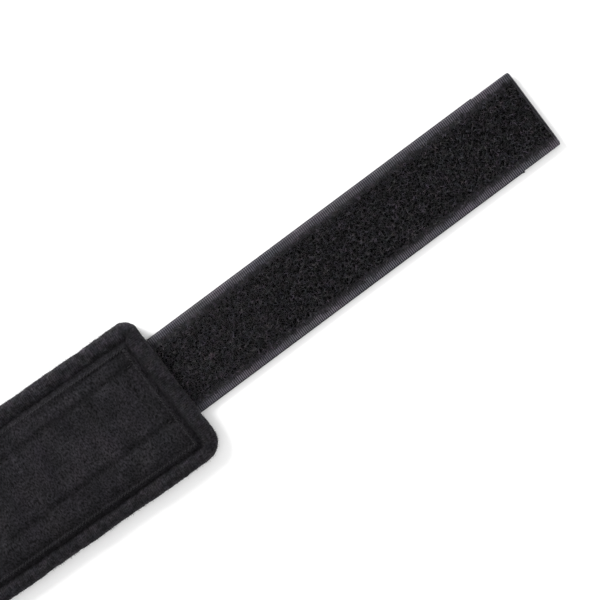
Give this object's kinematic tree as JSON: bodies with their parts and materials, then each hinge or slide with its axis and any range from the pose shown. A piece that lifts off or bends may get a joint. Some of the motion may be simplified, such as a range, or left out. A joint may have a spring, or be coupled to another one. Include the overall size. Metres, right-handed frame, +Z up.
{
  "type": "wrist splint",
  "caption": "Wrap-around wrist splint laid open: padded palm panel with a stay, padded wrist arm and loop-tape straps that close through rings.",
  "frame": {"origin": "centre of the bounding box on the surface it lies on, laid open with its lined skin side up", "axes": "+X along the padded arm to the wrist strap's tip, +Y along the forearm towards the hand, +Z up out of the skin side"},
  "size_m": [0.5484, 0.19, 0.008],
  "materials": {
    "lining": "brushed velour plush, matt",
    "cover": "fine knitted loop cloth, matt",
    "foam": "closed-cell foam sheet, matt",
    "binding": "ribbed stretch binding, soft sheen",
    "thread": "twisted polyester thread",
    "loop_tape": "napped loop tape with woven selvages",
    "hook_tape": "moulded hook tape",
    "webbing": "plain woven webbing",
    "pocket": "thin woven nylon",
    "stay": "brushed, eased edges",
    "ring": "moulded acetal, satin",
    "label": "blank woven satin"
  },
  "bodies": {
    "palm": {"palm_cover": "cover", "palm_foam": "foam", "palm_lining": "lining", "palm_binding": "binding", "palm_binding_seam": "thread", "thumb_binding": "binding", "thumb_binding_seam": "thread", "care_label": "label", "stay_pocket": "pocket", "stay_pocket_seam": "thread", "hand_strap_sewn_end": "loop_tape", "hand_strap_seam": "thread", "wrist_ring_tab": "webbing", "wrist_ring_seam": "thread", "hand_ring_tab": "webbing", "hand_ring_seam": "thread"},
    "stay": {"palmar_stay": "stay"},
    "arm": {"arm_cover": "cover", "arm_foam": "foam", "arm_lining": "lining", "arm_binding": "binding", "arm_binding_seam": "thread", "strap_top_sewn": "loop_tape", "strap_under_sewn": "loop_tape", "strap_seam": "thread"},
    "strap": {"strap_top_near": "loop_tape", "strap_under_near": "loop_tape"},
    "strap_tip": {"strap_top_tip": "loop_tape", "strap_under_tip": "loop_tape", "strap_hook_tab": "hook_tape", "strap_hook_seam": "thread"},
    "hand_strap": {"hand_strap_top": "loop_tape", "hand_strap_under": "loop_tape", "hand_hook_tab": "hook_tape", "hand_hook_seam": "thread"},
    "wrist_ring": {"wrist_ring": "ring"},
    "hand_ring": {"hand_ring": "ring"}
  },
  "joints": [
    {"name": "arm_fold", "type": "hinge", "parent": "palm", "child": "arm", "pos_m": [-0.02724, -0.02, 0.008], "axis": [0, -1, 0], "range_deg": [0, 95]},
    {"name": "strap_fold", "type": "hinge", "parent": "arm", "child": "strap", "pos_m": [0.08676, -0.01691, 0.0032], "axis": [0.0297, -0.9996, 0], "range_deg": [0, 85]},
    {"name": "strap_curl", "type": "hinge", "parent": "strap", "child": "strap_tip", "pos_m": [0.17972, -0.01415, 0.0032], "axis": [0.0297, -0.9996, 0], "range_deg": [0, 85]},
    {"name": "hand_strap_fold", "type": "hinge", "parent": "palm", "child": "hand_strap", "pos_m": [-0.14224, 0.065, 0.0032], "axis": [0, 1, 0], "range_deg": [0, 100]},
    {"name": "wrist_ring_swivel", "type": "hinge", "parent": "palm", "child": "wrist_ring", "pos_m": [-0.13774, -0.02, 0.0034], "axis": [0, 1, 0], "range_deg": [0, 100]},
    {"name": "hand_ring_swivel", "type": "hinge", "parent": "palm", "child": "hand_ring", "pos_m": [-0.03474, 0.065, 0.0034], "axis": [0, -1, 0], "range_deg": [0, 100]},
    {"name": "stay_slide", "type": "slide", "parent": "palm", "child": "stay", "axis": [0, -1, 0], "range_m": [0, 0.155]}
  ]
}
